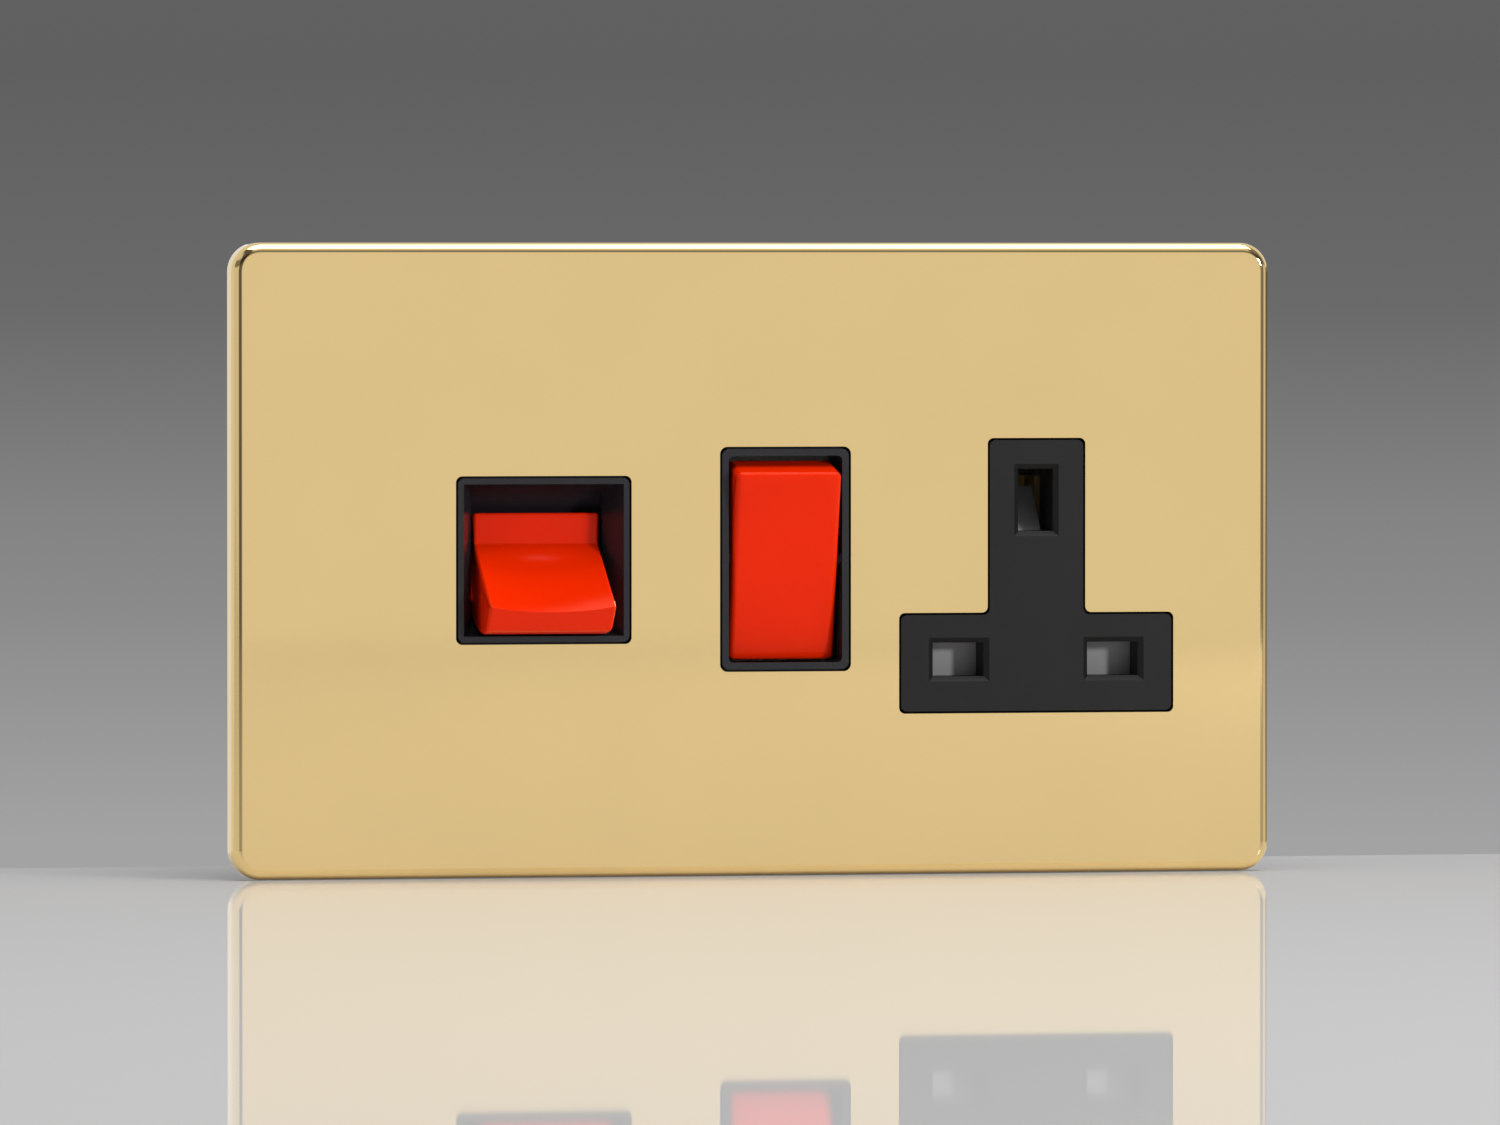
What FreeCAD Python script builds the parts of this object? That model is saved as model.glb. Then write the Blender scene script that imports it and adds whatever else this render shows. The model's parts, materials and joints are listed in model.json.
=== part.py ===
import FreeCAD, Part
import math
import os

# Cooker control unit: a pressed brass front plate on a moulded support frame,
# a double-pole cooker switch on the left, a socket switch in the middle and a
# shuttered three-pin socket on the right, all fed from the cooker supply.
# Millimetres. X right, Z up, the front faces -Y, and Y = 0 is the wall.

V = FreeCAD.Vector
X_AXIS = V(1, 0, 0)
Y_AXIS = V(0, 1, 0)
Z_AXIS = V(0, 0, 1)

# Driving sizes: plate, frame and fixings
plate_width = 148.0
plate_height = 88.0
plate_depth = 4.0
plate_sheet = 1.0
plate_corner_radius = 4.0
plate_edge_radius = 1.4
insert_gap = 0.3
frame_web = 1.8
frame_gap = 0.15
frame_rib = 1.6
fixing_spacing = 120.6
screw_radius = 1.75
screw_head_radius = 3.5
screw_slot_half = 3.0
screw_head_height = 1.5
screw_length = 25.0
pad_half = 5.6
pad_width = 12.0
slot_travel = 1.5
flange_depth = 2.1
flange_margin = 2.0
wall = 1.6
seat_clearance = 0.25

# Driving sizes: cooker switch
cooker_x = -30.1
cooker_bezel_width = 24.3
cooker_bezel_height = 22.75
cooker_bezel_land = 0.8
cooker_bezel_corner = 0.9
cooker_opening_width = 18.6
cooker_funnel_depth = 5.0
cooker_rocker_clearance = 0.35
cooker_rocker_width = cooker_opening_width - 2 * cooker_rocker_clearance
cooker_pivot_y = -4.4
cooker_drum_radius = 10.3
cooker_tilt = 26.0
cooker_lever_tilt = 8.0
cooker_base_width = 31.4
cooker_base_height = 50.0
cooker_base_depth = 27.0
scoop_dish = 1.0

# Driving sizes: socket switch
switch_x = 4.3
switch_bezel_width = 18.1
switch_bezel_height = 30.7
switch_bezel_land = 0.95
switch_bezel_corner = 1.05
switch_rocker_width = 15.0
switch_rocker_height = 26.7
switch_rocker_edge = 0.9
switch_pivot_y = 1.0
switch_face_height = 5.05
switch_tilt = 12.0
switch_lever_tilt = 8.0
switch_pin_radius = 1.2

# Driving sizes: socket and shutter
socket_x = 40.3
socket_width = 38.9
socket_top = 16.47
socket_bottom = -21.35
socket_bar = 13.45
socket_corner = 0.85
pin_pitch = 22.23
line_slot_z = -14.13
line_slot = (7.3, 4.7)
earth_slot = (5.0, 8.7)
slot_chamfer = 0.7
shutter_gap = 0.3
shutter_thickness = 1.5
shutter_travel = 6.0
socket_base_left = -7.6
socket_base_right = 57.4
socket_base_height = 58.0
socket_base_depth = 24.0
stud_relief = 0.8

# Driving sizes: contacts and terminals
lever_thickness = 1.2
lever_width = 4.0
strip = 1.0
plunger_radius = 1.3
plunger_half_width = 1.1
plunger_clearance = 0.2
terminal_width = 7.4
terminal_height = 9.0
terminal_depth = 12.0
cooker_cable_radius = 2.6
socket_cable_radius = 1.9
clamp_screw_radius = 1.8
button_radius = 1.7
button_height = 0.9
contact_gap = 0.1
lug_screw_radius = 1.2
lug_length = 4.0
lug_depth = 3.0

# Places worked out from the sizes above
face_y = -plate_depth
web_front = face_y + plate_sheet + frame_gap
web_back = web_front + frame_web
flange_back = web_back + flange_depth
earth_slot_z = line_slot_z + pin_pitch

base_places = [(cooker_x, cooker_base_height / 2), (switch_x, socket_base_height / 2),
               (socket_x, socket_base_height / 2)]

parts = {}


def lug_z(half_height):
    """Distance of a lug's screw from the middle of the part."""
    return half_height + lug_length / 2 + 0.2


def box(x0, x1, y0, y1, z0, z1):
    """A block between two corners."""
    return Part.makeBox(x1 - x0, y1 - y0, z1 - z0, V(x0, y0, z0))


def rod(radius, start, direction, length):
    """A round bar from a start point along a direction."""
    return Part.makeCylinder(radius, length, start, direction)


def rounded_block(x, z, width, height, y0, y1, radius):
    """A block with its four edges along Y rounded."""
    block = box(x - width / 2, x + width / 2, y0, y1, z - height / 2, z + height / 2)
    corners = [e for e in block.Edges if abs(e.tangentAt(e.FirstParameter).y) > 0.99]
    return block.makeFillet(radius, corners)


def outline_wire(x, z, width, height, y, radius):
    """A rounded rectangle in the plane Y = y."""
    a = width / 2
    b = height / 2
    k = radius * (1 - math.sqrt(0.5))
    corners = []
    for sx, sz in ((1, 1), (-1, 1), (-1, -1), (1, -1)):
        along_z = V(x + sx * a, y, z + sz * (b - radius))
        middle = V(x + sx * (a - k), y, z + sz * (b - k))
        along_x = V(x + sx * (a - radius), y, z + sz * b)
        corners.append((along_z, middle, along_x) if sx * sz > 0 else (along_x, middle, along_z))
    edges = []
    for i, (first, middle, last) in enumerate(corners):
        edges.append(Part.Arc(first, middle, last).toShape())
        edges.append(Part.LineSegment(last, corners[(i + 1) % 4][0]).toShape())
    return Part.Wire(edges)


def prism(points, x0, x1):
    """A block with a (y, z) outline, extruded along X."""
    corners = [V(x0, y, z) for y, z in points]
    face = Part.Face(Part.makePolygon(corners + corners[:1]))
    return face.extrude(V(x1 - x0, 0, 0))


def turned(shape, y, z, angle):
    """A copy turned by an angle in degrees about an axis along X."""
    copy = shape.copy()
    copy.rotate(V(0, y, z), X_AXIS, angle)
    return copy


def socket_outline(y0, y1, grow):
    """The inverted T of the socket front, grown by a margin all round."""
    lower = box(socket_x - socket_width / 2 - grow, socket_x + socket_width / 2 + grow, y0, y1,
                socket_bottom - grow, socket_bottom + socket_bar + grow)
    upright = box(socket_x - socket_bar / 2 - grow, socket_x + socket_bar / 2 + grow, y0, y1,
                  socket_bottom, socket_top + grow)
    tee = lower.fuse(upright).removeSplitter()
    corners = [e for e in tee.Edges if abs(e.tangentAt(e.FirstParameter).y) > 0.99]
    return tee.makeFillet(socket_corner, corners)


def insert_openings(y0, y1, gap):
    """The three openings that the inserts pass through."""
    cooker = rounded_block(cooker_x, 0, cooker_bezel_width + 2 * gap,
                           cooker_bezel_height + 2 * gap, y0, y1, cooker_bezel_corner)
    switch = rounded_block(switch_x, 0, switch_bezel_width + 2 * gap,
                           switch_bezel_height + 2 * gap, y0, y1, switch_bezel_corner)
    return [cooker, switch, socket_outline(y0, y1, gap)]


def frame_windows(y0, y1, gap):
    """The frame's square-cornered openings behind the plate's."""
    cooker = box(cooker_x - cooker_bezel_width / 2 - gap, cooker_x + cooker_bezel_width / 2 + gap,
                 y0, y1, -cooker_bezel_height / 2 - gap, cooker_bezel_height / 2 + gap)
    switch = box(switch_x - switch_bezel_width / 2 - gap, switch_x + switch_bezel_width / 2 + gap,
                 y0, y1, -switch_bezel_height / 2 - gap, switch_bezel_height / 2 + gap)
    lower = box(socket_x - socket_width / 2 - gap, socket_x + socket_width / 2 + gap, y0, y1,
                socket_bottom - gap, socket_bottom + socket_bar + gap)
    upright = box(socket_x - socket_bar / 2 - gap, socket_x + socket_bar / 2 + gap, y0, y1,
                  socket_bottom, socket_top + gap)
    return [cooker, switch, lower, upright]


def front_plate():
    """Pressed sheet with a rounded front edge, a return rim and three windows."""
    outer = rounded_block(0, 0, plate_width, plate_height, face_y, 0, plate_corner_radius)
    front_edges = [e for e in outer.Edges if abs(e.CenterOfMass.y - face_y) < 0.01]
    outer = outer.makeFillet(plate_edge_radius, front_edges)
    inner = rounded_block(0, 0, plate_width - 2 * plate_sheet, plate_height - 2 * plate_sheet,
                          face_y + plate_sheet, 1, plate_corner_radius - plate_sheet)
    plate = outer.cut(inner)
    return plate.cut(insert_openings(face_y - 1, 1, insert_gap))


def support_frame():
    """Moulded tray behind the plate: web, rim, ribs and slotted screw holes."""
    width = plate_width - 2 * plate_sheet - 2 * frame_gap
    height = plate_height - 2 * plate_sheet - 2 * frame_gap
    radius = plate_corner_radius - plate_sheet - frame_gap
    tray = rounded_block(0, 0, width, height, web_front, 0, radius)
    inner_width = width - 2 * frame_rib
    inner_height = height - 2 * frame_rib
    hollow = box(-inner_width / 2, inner_width / 2, web_back, 1, -inner_height / 2,
                 inner_height / 2)
    tray = tray.cut(hollow)
    for sign in (-1, 1):
        x = sign * fixing_spacing / 2
        pad = box(x - pad_width / 2, x + pad_width / 2, web_back, 0, -pad_half, pad_half)
        tray = tray.fuse(pad)
        reach = screw_slot_half + slot_travel
        slot = box(x - reach, x + reach, web_front - 1, 1, -screw_slot_half, screw_slot_half)
        recess_half = screw_head_radius + slot_travel
        recess = box(x - recess_half, x + recess_half, web_front - 1,
                     web_front + screw_head_height, -screw_head_radius - 0.3,
                     screw_head_radius + 0.3)
        tray = tray.cut([slot, recess])
    for x in (-44.5, -13.5, 17.2):
        rib = box(x - frame_rib / 2, x + frame_rib / 2, web_back, 0, 31, height / 2 - 1)
        tray = tray.fuse([rib, rib.mirror(V(0, 0, 0), Z_AXIS)])
    holes = [rod(lug_screw_radius + 0.02, V(x, web_front + 0.6, sign * lug_z(half)), Y_AXIS, 4)
             for x, half in base_places for sign in (-1, 1)]
    return tray.cut(frame_windows(web_front - 1, 1, insert_gap) + holes).removeSplitter()


def fixing_screws():
    """Two cheese-head screws that stand out behind the frame."""
    screws = []
    for sign in (-1, 1):
        x = sign * fixing_spacing / 2
        seat = web_front + screw_head_height
        head = rod(screw_head_radius, V(x, web_front, 0), Y_AXIS, screw_head_height)
        slot = box(x - screw_head_radius, x + screw_head_radius, web_front - 0.1,
                   web_front + 0.7, -0.4, 0.4)
        shank = rod(screw_radius, V(x, seat, 0), Y_AXIS, screw_length)
        screws.append(head.cut(slot).fuse(shank))
    return Part.makeCompound(screws)


parts["front_plate"] = front_plate()
parts["support_frame"] = support_frame()
parts["fixing_screws"] = fixing_screws()


# Cooker switch

funnel_back = face_y + cooker_funnel_depth
bezel_back = funnel_back + 3.1
skirt_back = funnel_back + 5.0
skirt_wall = 2.0
key_inner = 7.6
key_outer = 8.6
key_height = 0.9
key_clearance = 0.15
key_half_angle = 18.0
seat_radius = cooker_drum_radius + seat_clearance


def ring_sector(x0, x1, y, inner, outer, start_angle, end_angle):
    """A curved bar about an axis along X; angles run from straight back (+Y) up."""
    span = end_angle - start_angle
    section = Part.Face(Part.makePolygon([V(x0, y + inner, 0), V(x1, y + inner, 0),
                                          V(x1, y + outer, 0), V(x0, y + outer, 0),
                                          V(x0, y + inner, 0)]))
    section.rotate(V(0, y, 0), X_AXIS, start_angle)
    return section.revolve(V(0, y, 0), X_AXIS, span)


def flange_block(x, width, height, y0, margin):
    """Square rear flange round a bezel, also the pocket that it sits in."""
    half_width = width / 2 + margin
    half_height = height / 2 + margin
    return box(x - half_width, x + half_width, y0, flange_back, -half_height, half_height)


def cooker_bezel():
    """Flush frame with a drafted funnel whose ends are curved round the rocker's axis."""
    body = rounded_block(cooker_x, 0, cooker_bezel_width, cooker_bezel_height, face_y,
                         bezel_back, cooker_bezel_corner)
    flange = flange_block(cooker_x, cooker_bezel_width, cooker_bezel_height, web_back,
                          flange_margin)
    side = cooker_opening_width / 2
    shape = body.fuse(flange)
    for sign in (-1, 1):
        inner = sign * (side + insert_gap)
        outer = sign * (side + insert_gap + skirt_wall)
        cheek = box(min(inner, outer) + cooker_x, max(inner, outer) + cooker_x, funnel_back - 0.5,
                    skirt_back, -9.0, 9.0)
        shape = shape.fuse(cheek)
    mouth = cooker_bezel_width / 2 - cooker_bezel_land
    reach = cooker_bezel_height / 2
    taper = Part.Face(Part.makePolygon([
        V(cooker_x - mouth, face_y, -reach), V(cooker_x + mouth, face_y, -reach),
        V(cooker_x + side, funnel_back, -reach), V(cooker_x + side, skirt_back + 1, -reach),
        V(cooker_x - side, skirt_back + 1, -reach), V(cooker_x - side, funnel_back, -reach),
        V(cooker_x - mouth, face_y, -reach)])).extrude(V(0, 0, 2 * reach))
    drum = rod(seat_radius, V(cooker_x - mouth - 1, cooker_pivot_y, 0), X_AXIS, 2 * mouth + 2)
    shape = shape.cut(taper.common(drum))
    for sign in (-1, 1):
        inner = cooker_x + sign * (side - 0.5)
        outer = cooker_x + sign * (side + key_height + key_clearance)
        sweep = key_half_angle + cooker_tilt + 2
        groove = ring_sector(min(inner, outer), max(inner, outer), cooker_pivot_y,
                             key_inner - key_clearance, key_outer + key_clearance, -sweep, sweep)
        shape = shape.cut(groove)
    return shape.removeSplitter()


# Rocker outline in its rest place, measured from the rocker's axis:
# the pressed top end, the bottom of the scoop, the finger lip and its lower corner
top_edge = (5.6, 6.5)
scoop_point = (2.9, -0.7)
lip_edge = (-6.2, -6.3)
lip_corner = (-3.4, -9.65)


def cooker_rocker():
    """Drum-shaped rocker with a doubly hollow finger face and two curved side keys."""
    y = cooker_pivot_y
    half = cooker_rocker_width / 2
    x0 = cooker_x - half
    top = V(x0, y + top_edge[0], top_edge[1])
    hollow = V(x0, y + scoop_point[0], scoop_point[1])
    lip = V(x0, y + lip_edge[0], lip_edge[1])
    corner = V(x0, y + lip_corner[0], lip_corner[1])
    corner_radius = math.hypot(*lip_corner)
    back = V(x0, y + math.sqrt(corner_radius ** 2 - top_edge[1] ** 2), top_edge[1])
    turn = math.radians(-40)
    rear = V(x0, y + corner_radius * math.cos(turn), corner_radius * math.sin(turn))
    scoop = Part.Arc(top, hollow, lip)
    outline = Part.Wire([scoop.toShape(), Part.LineSegment(lip, corner).toShape(),
                         Part.Arc(corner, rear, back).toShape(),
                         Part.LineSegment(back, top).toShape()])
    body = Part.Face(outline).extrude(V(cooker_rocker_width, 0, 0))
    circle = scoop.toShape().Curve
    centre = circle.Center
    radius = circle.Radius
    barrel = Part.Wire([
        Part.Arc(V(x0, centre.y + radius, centre.z),
                 V(cooker_x, centre.y + radius + scoop_dish, centre.z),
                 V(x0 + 2 * half, centre.y + radius, centre.z)).toShape(),
        Part.makePolygon([V(x0 + 2 * half, centre.y + radius, centre.z),
                          V(x0 + 2 * half, centre.y, centre.z), V(x0, centre.y, centre.z),
                          V(x0, centre.y + radius, centre.z)])])
    barrel = Part.Face(barrel).revolve(centre, X_AXIS, 360)
    body = body.cut(barrel)
    keys = []
    for sign in (-1, 1):
        inner = cooker_x + sign * (half - 0.2)
        outer = cooker_x + sign * (half + key_height)
        keys.append(ring_sector(min(inner, outer), max(inner, outer), y, key_inner, key_outer,
                                -key_half_angle - cooker_tilt, key_half_angle - cooker_tilt))
    wells = []
    for sign in (-1, 1):
        well = plunger_well(cooker_x + sign * cooker_pole, y + cooker_well_floor, 20)
        wells.append(turned(well, y, 0, -cooker_tilt))
    return body.cut(wells).fuse(keys)


# Cooker mechanism, measured along Y from the rocker's axis
cooker_pole = 5.6
cooker_well_floor = 4.4
cooker_tip = 13.0
cooker_lever_reach = 13.5
terminal_z = 17.0
socket_pole = 4.6
socket_tip = 9.0
socket_well_floor = 3.0
socket_lever_reach = 12.0
spring_steps = 10
stem_length = 3.4


def plunger(x, y, tip, angle):
    """Nylon plunger, square in the rocker's well, with a half-round nose."""
    radius = plunger_radius
    half = plunger_half_width
    nose_y = y + tip - radius
    start = nose_y - stem_length
    stem = box(x - half, x + half, start, nose_y, -radius, radius)
    nose = rod(radius, V(x - half, nose_y, 0), X_AXIS, 2 * half)
    return turned(stem.fuse(nose).removeSplitter(), y, 0, angle)


def plunger_well(x, start, length):
    """Square well with clearance round a plunger."""
    wide = plunger_half_width + plunger_clearance
    high = plunger_radius + plunger_clearance
    return box(x - wide, x + wide, start, start + length, -high, high)


def spring(x, y, z, length, radius, wire, turns, direction):
    """Coil spring of square wire, wound in short straight stretches."""
    half = wire / 2
    steps = spring_steps * turns
    sections = []
    for i in range(steps + 1):
        rise = half + (length - wire) * i / steps
        section = Part.makePolygon([V(radius - half, 0, rise - half), V(radius + half, 0, rise - half),
                                    V(radius + half, 0, rise + half), V(radius - half, 0, rise + half),
                                    V(radius - half, 0, rise - half)])
        section.rotate(V(0, 0, 0), Z_AXIS, 360 * i / spring_steps)
        sections.append(section)
    coil = Part.makeLoft(sections, True, True)
    if direction == "y":
        coil.rotate(V(0, 0, 0), X_AXIS, -90)
    coil.translate(V(x, y, z))
    return coil


def contact_lever(x, y, tip, tilt, lever_tilt, reach, side):
    """Pressed copper rocking lever, curved to follow the plunger's nose.

    Its front is an arc through the nose's three places, level and at both limits, so the
    gap stays even; side is +1 where the upper arm carries the contact."""
    pivot = y + tip + plunger_clearance + lever_thickness / 2
    swing = math.radians(tilt)
    lean = math.radians(lever_tilt)
    dy = y + (tip + plunger_clearance) * math.cos(swing) - pivot
    dz = (tip + plunger_clearance) * math.sin(swing)
    end_y = dy * math.cos(lean) - dz * math.sin(lean)
    end_z = dz * math.cos(lean) + dy * math.sin(lean)
    middle_y = -lever_thickness / 2
    front = Part.Arc(V(x, end_y, end_z), V(x, middle_y, 0), V(x, end_y, -end_z))
    back = Part.Arc(V(x, end_y + lever_thickness, -end_z), V(x, middle_y + lever_thickness, 0),
                    V(x, end_y + lever_thickness, end_z))
    saddle = Part.Face(Part.Wire([
        front.toShape(), Part.makePolygon([V(x, end_y, -end_z), V(x, end_y + lever_thickness, -end_z)]),
        back.toShape(), Part.makePolygon([V(x, end_y + lever_thickness, end_z), V(x, end_y, end_z)])]))
    saddle = saddle.extrude(V(lever_width, 0, 0))
    saddle.translate(V(-lever_width / 2, 0, 0))
    arm_y = end_y + lever_thickness
    arms = [box(x - lever_width / 2, x + lever_width / 2, end_y, arm_y,
                min(side * end_z * 0.98, side * reach), max(side * end_z * 0.98, side * reach))]
    button = rod(button_radius, V(x, arm_y, side * (reach - 2)), Y_AXIS, button_height)
    lever = saddle.fuse(arms + [button])
    ears = box(x - lever_width / 2 - 0.9, x + lever_width / 2 + 0.9, -0.45, 0.45, -0.45, 0.45)
    lever = lever.fuse(ears).removeSplitter()
    lever.translate(V(0, pivot, 0))
    far_edge = reach - 2 + button_radius
    closed = (arm_y + button_height) * math.cos(lean) + far_edge * math.sin(lean)
    return lever, pivot, pivot + closed + contact_gap


def clamp_block(x, z, y_back, cable_radius, outward):
    """Drawn brass terminal block: cable bore along Y, clamp screw hole from its outer end."""
    half = terminal_width / 2
    block = box(x - half, x + half, y_back - terminal_depth, y_back, z - terminal_height / 2,
                z + terminal_height / 2)
    bore = rod(cable_radius, V(x, y_back - terminal_depth - 1, z), Y_AXIS, terminal_depth + 2)
    hole = rod(clamp_screw_radius + 0.05, V(x, y_back - terminal_depth / 2, z),
               Z_AXIS * outward, terminal_height)
    return block.cut([bore, hole])


def clamp_screw(x, z, y_back, cable_radius, outward, end_z):
    """Slotted clamp screw, backed off to the top of the cable bore."""
    y = y_back - terminal_depth / 2
    start = z + outward * (cable_radius + 0.1)
    length = abs(end_z - start)
    screw = rod(clamp_screw_radius, V(x, y, start), Z_AXIS * outward, length)
    top = max(end_z, end_z - outward * 0.8)
    slot = box(x - 3, x + 3, y - 0.35, y + 0.35, top - 0.8, top + 0.01)
    return screw.cut(slot)


def pivot_terminal(x, pivot, back, foot_z):
    """Strip with two saddle posts that carry a contact lever's ears."""
    front = pivot + 0.55
    inner = lever_width / 2 + 0.2
    posts = []
    for sign in (-1, 1):
        a = x + sign * inner
        b = x + sign * (inner + 0.9)
        post = box(min(a, b), max(a, b), pivot - 0.6, back + 0.1, -1.6, 1.6)
        notch = box(min(a, b) - 0.1, max(a, b) + 0.1, pivot - 0.7, front, -0.75, 0.75)
        posts.append(post.cut(notch))
    plate = box(x - inner - 0.9, x + inner + 0.9, back, back + strip, foot_z, 1.6)
    return plate.fuse(posts).removeSplitter()


def hollow_base(x0, x1, half_height, y1, cells, floor_y):
    """Moulded box, open at the front, with one cell for each listed span of X."""
    base = box(x0, x1, web_back, y1, -half_height, half_height)
    pockets = [box(a, b, start, floor_y, -half_height + wall, half_height - wall)
               for a, b, start in cells]
    return base.cut(pockets)


def entry_windows(x, floor_y, z, cable_radius, end_z):
    """Square windows for a terminal's cable, in the floor, and its screw, in the end wall."""
    half = cable_radius + 0.6
    driver = clamp_screw_radius + 0.4
    y = floor_y - terminal_depth / 2
    return [box(x - half, x + half, floor_y - 1, floor_y + wall + 1, z - half, z + half),
            box(x - driver, x + driver, y - driver, y + driver,
                min(end_z * 0.9, end_z * 1.1), max(end_z * 0.9, end_z * 1.1))]


def lugs(x, half_height):
    """Forked screw lugs at both ends of a base."""
    pieces = []
    for sign in (-1, 1):
        a = sign * (half_height - 0.5)
        b = sign * (half_height + lug_length)
        lug = box(x - 3.5, x + 3.5, web_back, web_back + lug_depth, min(a, b), max(a, b))
        slot_z = (lug_z(half_height) - lug_screw_radius - 0.1) * sign
        slot = box(x - lug_screw_radius - 0.1, x + lug_screw_radius + 0.1, web_back - 1,
                   web_back + lug_depth + 1, min(slot_z, b + sign), max(slot_z, b + sign))
        pieces.append(lug.cut(slot))
    return pieces


def hexagon(x, z, radius):
    """A six-sided face in the plane Y = 0."""
    corners = [V(x + radius * math.cos(math.radians(60 * i)), 0,
                 z + radius * math.sin(math.radians(60 * i))) for i in range(7)]
    return Part.Face(Part.makePolygon(corners))


def lug_screws(places):
    """Hexagon-headed screws through the lugs into the frame's web."""
    screws = []
    for x, half_height in places:
        for sign in (-1, 1):
            z = sign * lug_z(half_height)
            head_y = web_back + lug_depth
            shank = rod(lug_screw_radius, V(x, web_front + 0.6, z), Y_AXIS,
                        head_y - web_front - 0.6)
            head = hexagon(x, z, 2.1).extrude(V(0, 1.3, 0))
            head.translate(V(0, head_y, 0))
            screws.append(shank.fuse(head))
    return screws


# Cooker module
cooker_left = cooker_x - cooker_base_width / 2
cooker_right = cooker_x + cooker_base_width / 2
cooker_half = cooker_base_height / 2
cooker_back = flange_back + cooker_base_depth
cooker_floor = cooker_back - wall
cooker_strip_y = cooker_floor - terminal_depth
middle_wall = 1.4
_, cooker_lever_pivot, cooker_contact_y = contact_lever(
    0, cooker_pivot_y, cooker_tip, cooker_tilt, cooker_lever_tilt, cooker_lever_reach, 1)


def cooker_base():
    """Deep two-cell moulding whose middle wall is hollowed as the rocker's cradle."""
    cells = [(cooker_left + wall, cooker_x - middle_wall / 2, web_back - 1),
             (cooker_x + middle_wall / 2, cooker_right - wall, web_back - 1)]
    base = hollow_base(cooker_left, cooker_right, cooker_half, cooker_back, cells, cooker_floor)
    base = base.fuse(lugs(cooker_x, cooker_half))
    flange = flange_block(cooker_x, cooker_bezel_width, cooker_bezel_height, web_back - 1,
                          flange_margin + 0.1)
    body = box(cooker_x - 11.9, cooker_x + 11.9, web_back - 1, skirt_back + 0.2, -11.6, 11.6)
    cradle = rod(seat_radius, V(cooker_x - 11, cooker_pivot_y, 0), X_AXIS, 22)
    cuts = [flange, body, cradle]
    pedestals = []
    for sign in (-1, 1):
        x = cooker_x + sign * cooker_pole
        pedestals.append(box(x - 2, x + 2, cooker_strip_y + strip, cooker_floor + 0.1, -2, 2))
        for end in (-1, 1):
            cuts += entry_windows(x, cooker_floor, end * terminal_z, cooker_cable_radius,
                                  end * cooker_half)
    cuts.append(feed_bar_channel(1))
    cuts.append(feed_bar_channel(-1))
    saddle = box(cooker_x - middle_wall / 2, cooker_x + middle_wall / 2, cooker_pivot_y,
                 skirt_back + 1, -11.6, 11.6).cut(cradle)
    saddle = saddle.common(box(cooker_left, cooker_right, bezel_back + 0.1, skirt_back + 1, -11, 11))
    return base.cut(cuts).fuse(pedestals + [saddle]).removeSplitter()


def supply_terminal(sign):
    """Incoming terminal of one pole with the strip that carries its contact lever."""
    x = cooker_x + sign * cooker_pole
    block = clamp_block(x, -terminal_z, cooker_floor, cooker_cable_radius, -1)
    posts = pivot_terminal(x, cooker_lever_pivot, cooker_strip_y, -terminal_z)
    bore = rod(cooker_cable_radius, V(x, cooker_strip_y - 1, -terminal_z), Y_AXIS, 4)
    return block.fuse(posts.cut(bore)).removeSplitter()


def load_terminal(sign):
    """Outgoing terminal of one pole with its fixed contact tab."""
    x = cooker_x + sign * cooker_pole
    block = clamp_block(x, terminal_z, cooker_floor, cooker_cable_radius, 1)
    low = terminal_z - terminal_height / 2
    tab = box(x - 2.4, x + 2.4, cooker_contact_y, cooker_contact_y + strip,
              cooker_lever_reach - 2 - 2.1, low + 1.2)
    riser = box(x - 2.4, x + 2.4, cooker_contact_y, cooker_strip_y + 0.1, low + 0.1, low + 1.2)
    return block.fuse([tab, riser]).removeSplitter()


# Feed bars from the cooker supply to the socket switch; sign is the pole
bar_width = 3.0
bar_y = 15.6
live_bar_z = -terminal_z - terminal_height / 2 - strip
neutral_bar_z = -10.9
socket_floor = flange_back + socket_base_depth - wall - 1
socket_back = socket_floor + wall
socket_half = socket_base_height / 2
socket_strip_y = 13.6
_, socket_lever_pivot, socket_contact_y = contact_lever(
    0, switch_pivot_y, socket_tip, switch_tilt, switch_lever_tilt, socket_lever_reach, 1)


def feed_bar(sign):
    """Copper strip on edge of the supply block, bent up to the socket switch's post."""
    z = live_bar_z if sign > 0 else neutral_bar_z
    start = cooker_x + sign * cooker_pole
    end = switch_x + sign * socket_pole
    bar = box(start - 2, end + 2, bar_y, bar_y + bar_width, z, z + strip)
    post = box(end - 2, end + 2, socket_strip_y + strip, bar_y + 0.1, z, z + strip)
    if sign > 0:
        return bar.fuse(post).removeSplitter()
    foot = box(start - 2, start + 2, bar_y, bar_y + bar_width,
               -terminal_z + terminal_height / 2, z + 0.1)
    return bar.fuse([post, foot]).removeSplitter()


def feed_bar_channel(sign):
    """Clearance slot through the walls that a feed bar passes."""
    z = live_bar_z if sign > 0 else neutral_bar_z
    start = cooker_x + sign * cooker_pole
    return box(start - 2.3, switch_x + sign * socket_pole + 2.3, bar_y - 0.3,
               bar_y + bar_width + 0.3, z - 0.3, z + strip + 0.3)


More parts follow.
